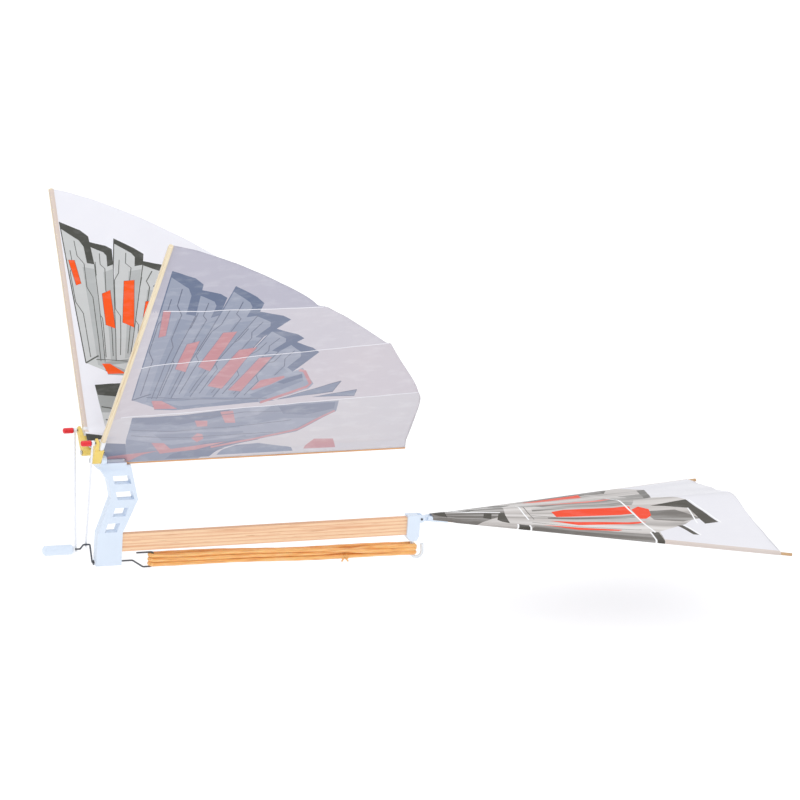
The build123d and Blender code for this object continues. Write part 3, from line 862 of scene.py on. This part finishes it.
def tail_place(x, y):
    """The tail's film: two flats that meet at a soft ridge and wrap down over the sticks."""
    half, stick_z = tail_stick_at(x)
    wrap = tail_wrap_at(x)
    beyond = abs(y) - half
    if beyond > 0:
        turn = beyond / wrap
        sign = 1 if y > 0 else -1
        return Vector((x, sign * (half + wrap * sin(turn)), stick_z + wrap * cos(turn)))
    aft_share = (x - TAIL_ROOT_X) / (TAIL_RIDGE_X - TAIL_ROOT_X)
    ridge = mix(TAIL_ROOT_Z + TAIL_ROOT_RISE, TAIL_RIDGE_Z, aft_share)
    share = abs(y) / half
    soft = 0.06  # how far from the middle the ridge is rounded, as a share
    level = sqrt(share * share + soft * soft) - soft
    z = mix(ridge, stick_z + wrap, min(level / (hypot(1, soft) - soft), 1.0))
    free = smooth((1 - share) / 0.25) * smooth((x - 205) / 60)
    ripple = TAIL_RIPPLE * noise.noise(Vector((x / 34, y / 9, 5.1)))
    z += free * (ripple - TAIL_SAG * sin(pi * share))
    (x0, y0), (x1, y1) = TAIL_CREASE
    crease_x = mix(x0, x1, (y0 - y) / (y0 - y1))
    z += free * TAIL_CREASE_LIFT * max(0.0, 1 - abs(x - crease_x) / 7)
    return Vector((x, y, z))


def tail_sleeves():
    """Bands of film that are wrapped round the two sticks."""
    bands = []
    inner, outer = -0.7, 4
    for side in (-1, 1):
        corners = [(TAIL_ROOT_X, inner), (TAIL_TIP_X, inner), (TAIL_TIP_X, outer), (TAIL_ROOT_X, outer)]
        bands.append(("sleeve", [(x, side * (tail_stick_at(x)[0] + off)) for x, off in corners]))
    return bands


def tail_outline():
    """Flat outline with a lap along each stick and a slightly hollow trailing edge."""
    front, end = TAIL_FRONT, TAIL_END
    half_front, half_end = tail_stick_at(front)[0] + TAIL_LAP, tail_stick_at(end)[0] + TAIL_LAP
    starboard = [(end - 1.6, 20), (end - 0.6, 40), (end, half_end), (front, half_front)]
    return [(x, -y) for x, y in starboard[::-1]] + [(end - 1, 0)] + starboard


def tail_grid():
    """Inner points: fine round the sticks, even between them, finer at the ridge."""
    places = []
    x = 185.0
    while x < TAIL_END:
        half = tail_stick_at(x)[0]
        for lap in (-0.4, 0.0, 0.4, 0.8, 1.2, 1.6, 2.0, 2.3):
            places += [(x, half + lap), (x, -half - lap)]
        x += 0.9
    x = 186.0
    while x < TAIL_END:
        half = tail_stick_at(x)[0]
        y = 0.0
        while y < half - 0.8:
            places += [(x, y), (x, -y)] if y else [(x, 0.0)]
            y += 0.7 if y < 2 else 1.8
        x += 2.0
    return places


def make_tail_film(materials):
    outline = tail_outline()
    shapes = tail_sleeves() + TAIL_PRINT
    shapes += [(ink, strip(points, width)) for ink, width, points in TAIL_LINES]
    film = printed_sheet("tail_skin", materials, outline, shapes, shapes, tail_grid(), tail_place,
                         1, lambda x, y: TAIL_FOLD_SHADING, TAIL_EDGE_STEP)
    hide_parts("tail_film")
    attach(film, "tail")
    low_x, high_x, low_y, high_y = bounds_of(outline)
    return film


# ---- rubber motor
HOOK_X, POST_X = 31.2, 174.8  # upright legs of the two hooks
STRAND_R, LOOP_COUNT, LOOP_HALF = 1.1, 3, 1.75  # LOOP_HALF: half width of a flat loop
FRONT_PITCH, REAR_PITCH, FRONT_TOP, REAR_TOP = 2.35, 1.95, 3.75, 0.9
CROSS_START, CROSS_LENGTH, CROSS_SPREAD = 0.62, 0.3, 1.1  # where the two upper port strands cross
SWAY_UP, LEAN_UP, SWAY_OUT = 0.45, 0.5, 0.3  # how loosely the strands lie, mm
STRAIGHT = 0.47  # share of a loop that each straight side takes
KNOT_R, KNOT_LENGTH, KNOT_STRAND_R = 1.15, 3.2, 0.55


def strand_centre(loop, turn):
    """Point of a loop's centreline; turn runs once round the loop from 0 to 1."""
    rear_turn = 0.0
    if turn < STRAIGHT:
        x, y = mix(POST_X, HOOK_X, turn / STRAIGHT), -LOOP_HALF
    elif turn < 0.5:
        angle = pi * (turn - STRAIGHT) / (0.5 - STRAIGHT)
        x, y = HOOK_X - LOOP_HALF * sin(angle), -LOOP_HALF * cos(angle)
    elif turn < 0.5 + STRAIGHT:
        x, y = mix(HOOK_X, POST_X, (turn - 0.5) / STRAIGHT), LOOP_HALF
    else:
        rear_turn = (turn - 0.5 - STRAIGHT) / (0.5 - STRAIGHT)
        angle = pi * rear_turn
        x, y = POST_X + LOOP_HALF * sin(angle), LOOP_HALF * cos(angle)
    share = min(max((x - HOOK_X) / (POST_X - HOOK_X), 0), 1)
    belly = sin(pi * share)
    side = -1 if y < 0 else 1
    rank = loop
    if loop < 2:
        crossed = (share - CROSS_START) / CROSS_LENGTH if turn < STRAIGHT else 0.0
        swapped = smooth(rear_turn) if rear_turn else smooth(crossed)
        rank = mix(loop, 1 - loop, swapped)
        if 0 < crossed < 1:
            y += (2 * loop - 1) * CROSS_SPREAD * sin(pi * crossed)
    z = mix(FRONT_TOP, REAR_TOP, share) - rank * mix(FRONT_PITCH, REAR_PITCH, share)
    sway = SWAY_UP * sin(2.2 * pi * share + loop * 0.5 + side * 0.9)
    z += belly * (sway - LEAN_UP * side * (share - 0.5))
    y += belly * SWAY_OUT * sin(3.1 * pi * share + loop * 2.3)
    return Vector((x, y, z))


def tube(verts, faces, line, radius_at, closed):
    """Adds a round tube along a line of points to a list of vertices and faces."""
    around = 14
    first = len(verts)
    count = len(line)
    upright = Vector((0, 0, 1))
    for i, p in enumerate(line):
        after = line[(i + 1) % count] if closed or i < count - 1 else p
        before = line[i - 1] if closed or i else p
        along = (after - before).normalized()
        side = along.cross(upright).normalized()
        top = side.cross(along)
        radius = radius_at(i / count)
        for k in range(around):
            angle = 2 * pi * k / around
            verts.append((p + (side * cos(angle) + top * sin(angle)) * radius) * MM)
    for i in range(count if closed else count - 1):
        a, b = first + i * around, first + (i + 1) % count * around
        for k in range(around):
            n = (k + 1) % around
            faces.append((a + k, b + k, b + n, a + n))
    if not closed:
        faces.append(tuple(range(first, first + around)))
        faces.append(tuple(range(first + count * around - 1, first + (count - 1) * around - 1, -1)))


def add_knot(verts, faces):
    """A few turns round the lowest port strand, with two short ends that hang down."""
    knot_x = (KNOT_LOW.x + KNOT_HIGH.x) / 2 / MM
    share = (knot_x - HOOK_X) / (POST_X - HOOK_X)
    low = strand_centre(LOOP_COUNT - 1, (1 - share) * STRAIGHT)
    steps, step_angle, half = 16, 1.1, KNOT_LENGTH / 2
    twist = [low + Vector((mix(-half, half, k / steps), KNOT_R * sin(k * step_angle),
                           KNOT_R * cos(k * step_angle))) for k in range(steps + 1)]
    tube(verts, faces, twist, lambda t: KNOT_STRAND_R, False)
    for lean in (-0.5, 0.7):
        end = [low + Vector((0.8 * lean + lean * 2.2 * k / 6, -0.3 * k / 6, -0.8 - 2.0 * k / 6))
               for k in range(7)]
        tube(verts, faces, end, lambda t: 0.5 - 0.12 * t, False)


def make_rubber_motor():
    verts, faces = [], []
    points = 240
    for loop in range(LOOP_COUNT):
        line = [strand_centre(loop, k / points) for k in range(points)]
        tube(verts, faces, line,
             lambda t, loop=loop: STRAND_R + 0.05 * sin(46 * pi * t + loop), True)
    add_knot(verts, faces)
    mesh = bpy.data.meshes.new("rubber_motor")
    mesh.from_pydata([tuple(v) for v in verts], [], faces)
    mesh.polygons.foreach_set("use_smooth", [True] * len(faces))
    mesh.update()
    motor = new_object("rubber_motor", mesh)
    mesh.materials.append(rubber("amber_rubber"))
    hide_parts("rubber_band", "rubber_knot")
    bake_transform(motor)
    return motor


# ---- finishes of the CAD nodes
def spar_axis(side):
    """Direction of a wing's spar at rest."""
    flap, sweep = radians(FLAP[side]), radians(SPAR_SWEEP)
    sign = 1 if side == "right" else -1
    return (sin(sweep), sign * cos(sweep) * cos(flap), cos(sweep) * sin(flap))


def finish_nodes():
    pale = plastic("pale_blue_plastic", "e2eefc", "d6e2f3")
    white = plastic("white_plastic", "f4f6fa", "e6eaf2", through=0.1)
    clear = plastic("milky_plastic", "f0f4f7", "e0e5eb", 0.25, 0.4, through=0.3)
    yellow = plastic("yellow_plastic", "f3d978", "e8c65c")
    red = plastic("red_plastic", "f01828", "d60c1e", 0.28, 0.4)
    wire = steel("dark_steel", "42444a", "76787e")
    bright = steel("bright_steel", "b0b2b8", "d6d8dc")
    strip_wood = wood("stick_wood", (1, 0, 0), "fad7b2", "e8b08a",
                      "d6a07a", 420.0, bands=3400.0)
    keel_wood = wood("keel_wood", (1, 0, 0), "dea876", "be8254",
                     "a06840")
    finishes = {
        "front_frame": pale, "rear_bracket": pale, "crank_grip": pale, "tail_holder": pale,
        "shaft_bush": white, "grip_collar": white, "rear_hook": clear,
        "tail_pivot_pin": wire, "crank_wire": wire, "thrust_washer": wire,
        "motor_stick": strip_wood, "keel_stick": keel_wood,
    }
    sided = {"hinge_pin": bright, "rod_pin": wire, "pin_cap": red, "wing_holder": yellow,
             "spar_sleeve": white, "con_rod": white}
    spar_tones = "f0e2c6", "d6be98", "ba9e76"
    tail_tones = "ceaa82", "a47a54", "825c3c"
    for side in ("left", "right"):
        sign = 1 if side == "right" else -1
        finishes.update((f"{part}_{side}", look) for part, look in sided.items())
        finishes[f"wing_spar_{side}"] = wood(f"spar_wood_{side}", spar_axis(side), *spar_tones)
        run = (TAIL_TIP_X - TAIL_ROOT_X, sign * (TAIL_TIP_Y - TAIL_ROOT_Y), TAIL_TIP_Z - TAIL_ROOT_Z)
        finishes[f"tail_stick_{side}"] = wood(f"tail_wood_{side}", run, *tail_tones)
    for name, material in finishes.items():
        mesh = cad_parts[name].data
        mesh.materials.clear()
        mesh.materials.append(material)


# ---- stage, light and camera
def make_stage():
    """A pale floor with a little light of its own, so that shadows on it stay faint."""
    size = 12.0
    low = CAD_BOX[0][2] - FLOOR_DROP
    mesh = bpy.data.meshes.new("floor")
    mesh.from_pydata([(-size, -size, low), (size, -size, low), (size, size, low), (-size, size, low)],
                     [], [(0, 1, 2, 3)])
    floor = new_object("floor", mesh)
    material, tree, shader = new_material("pale_floor", Roughness=0.9, Specular_IOR_Level=0.0,
                                          Emission_Color=grey(1), Emission_Strength=0.55)
    cloud = noise_value(tree, object_place(tree), 1.5, 2.0)
    tree.links.new(ramp(tree, cloud, [(0.3, tone("c4c4c5")), (0.7, tone("c7c7c7"))]),
                   shader.inputs["Base Color"])
    mesh.materials.append(material)


def area_light(name, place, target, size, power):
    """A round lamp that faces the target; size in metres, power in watts."""
    data = bpy.data.lights.new(name, "AREA")
    data.shape, data.size, data.energy = "DISK", size, power
    light = new_object(name, data)
    light.location = place
    light.rotation_euler = (Vector(target) - Vector(place)).to_track_quat("-Z", "Y").to_euler()


def light_scene():
    """A soft tent: bright overhead, dimmer at the horizon, with two weak lamps for gloss."""
    world = bpy.data.worlds.new("studio")
    world.use_nodes = True
    tree = world.node_tree
    direction = node(tree, "TexCoord").outputs["Generated"]
    height = node(tree, "SeparateXYZ", {0: direction}).outputs["Z"]
    strength = range_of(tree, height, 0.48, 1.34)
    background = tree.nodes["Background"]
    background.inputs[0].default_value = (0.985, 0.992, 1.0, 1.0)
    tree.links.new(strength, background.inputs[1])
    bpy.context.scene.world = world
    area_light("key", (-0.9, -1.3, 1.6), MIDDLE_OF_MODEL, 1.3, 4.0)
    area_light("fill", (1.2, -1.2, 0.9), MIDDLE_OF_MODEL, 1.5, 1.5)
    bpy.context.scene.view_settings.view_transform = "Standard"
    bpy.context.scene.view_settings.look = "None"


def make_camera():
    """Long lens at the fitted viewing angle, rolled a little about its own axis."""
    turn, lift, roll = (radians(a) for a in (VIEW_AZIMUTH, VIEW_ELEVATION, VIEW_ROLL))
    ahead = Vector((-sin(turn) * cos(lift), cos(turn) * cos(lift), -sin(lift)))
    level = ahead.cross(Vector((0, 0, 1))).normalized()
    up = level.cross(ahead) * cos(roll) + level * sin(roll)
    right = ahead.cross(up)
    data = bpy.data.cameras.new("camera")
    data.sensor_width = 36.0
    data.lens = VIEW_LENS
    camera = new_object("camera", data)
    turned = Matrix((right, up, -ahead)).transposed().to_4x4()
    camera.matrix_world = Matrix.Translation(VIEW_AIM - ahead * VIEW_DISTANCE) @ turned
    bpy.context.scene.camera = camera


make_camera()
light_scene()
make_stage()
finish_nodes()
wing_inks = film_materials("wing", TOP_INKS, UNDER_INKS)
for wing_side in ("left", "right"):
    make_wing_film(wing_side, wing_inks)
make_tail_film(film_materials("tail", TAIL_INKS, UNDER_INKS, rays=True))
make_rubber_motor()
